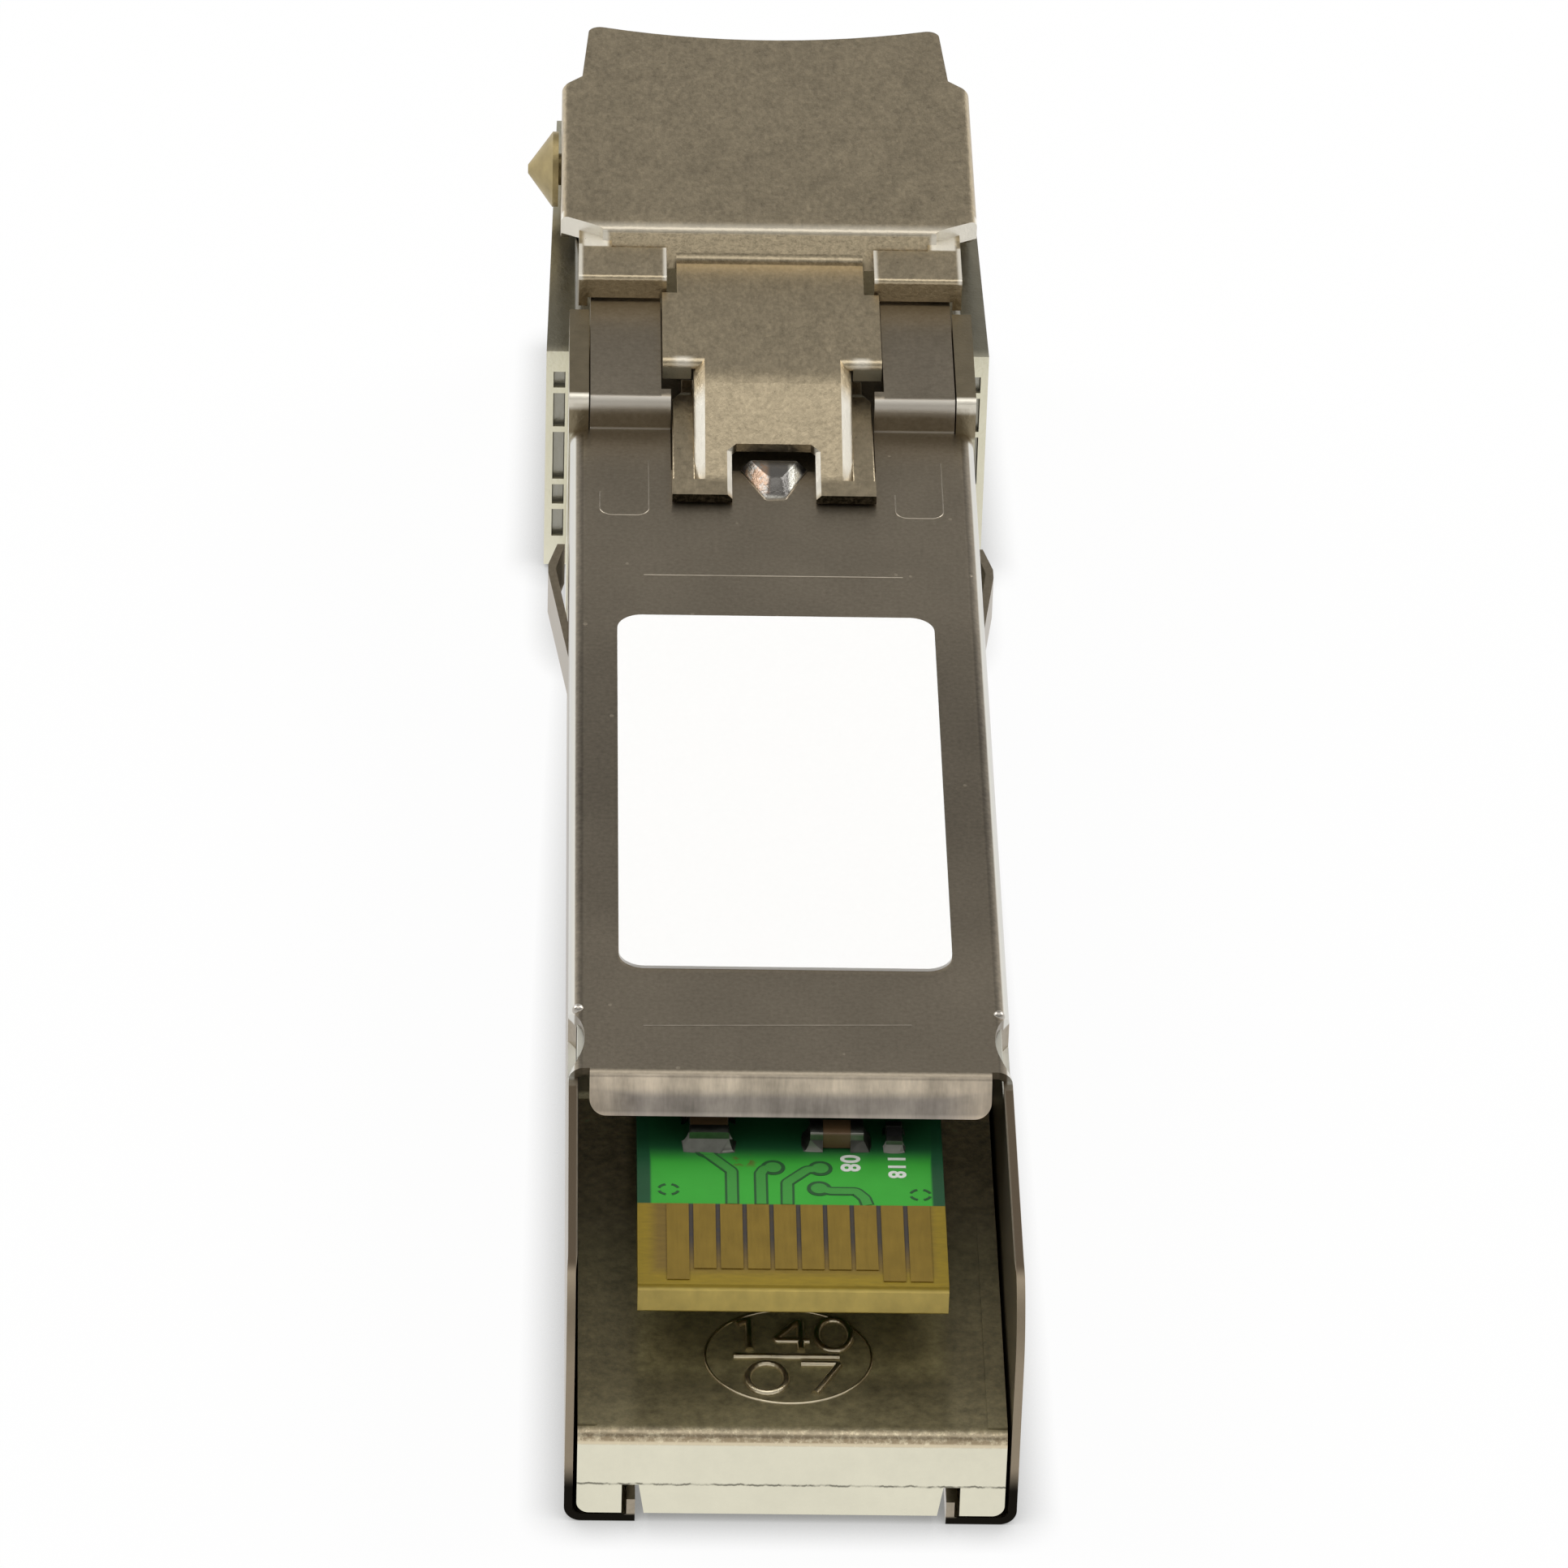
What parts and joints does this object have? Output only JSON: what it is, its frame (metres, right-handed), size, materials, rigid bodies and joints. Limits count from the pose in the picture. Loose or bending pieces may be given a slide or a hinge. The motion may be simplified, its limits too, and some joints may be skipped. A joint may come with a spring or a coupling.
{
  "type": "copper network transceiver",
  "caption": "Hot-pluggable copper network transceiver with a die-cast nose, stamped sleeve, edge board and sprung-latch release lever.",
  "frame": {"origin": "where the latch shoulder meets the latch-side face, at mid width", "axes": "+X across to the right seen from the rear with the latch side up, +Y out of the cage towards the modular jack, +Z out of the latch side"},
  "size_m": [0.0157, 0.0702, 0.0123],
  "materials": {
    "casting": "satin nickel plate over a zinc casting",
    "sleeve_sheet": "satin nickel plate",
    "label": "matte white film",
    "lever_sheet": "fine-grained satin nickel plate",
    "pin": "satin",
    "board": "solder mask over glass laminate",
    "gold": "gold plate",
    "package": "moulded epoxy",
    "thermal": "soft gap filler",
    "solder": "tinned",
    "ferrite": "moulded ferrite",
    "capacitor": "fired ceramic with tinned ends",
    "resistor": "glazed film with tinned ends",
    "jack_plastic": "moulded"
  },
  "bodies": {
    "module": {"diecast_body": "casting", "sleeve": "sleeve_sheet", "blank_label": "label", "pivot_pin": "pin", "circuit_board": "board", "edge_contacts_latch_side": "gold", "edge_contacts_far_side": "gold", "phy_chip": "package", "thermal_pad": "thermal", "magnetics_module": "package", "magnetics_leads": "solder", "memory_chip": "package", "memory_leads": "solder", "clock_crystal": "solder", "voltage_regulator": "package", "power_inductor": "ferrite", "ceramic_capacitors": "capacitor", "chip_resistors": "resistor", "jack_insert": "jack_plastic", "contact_carrier": "jack_plastic", "jack_contacts": "gold"},
    "lever": {"release_lever": "lever_sheet"}
  },
  "joints": [
    {"name": "lever_pivot", "type": "hinge", "parent": "module", "child": "lever", "pos_m": [0, 0.0187, 0.0005], "axis": [-1, 0, 0], "range_deg": [0, 3]}
  ]
}
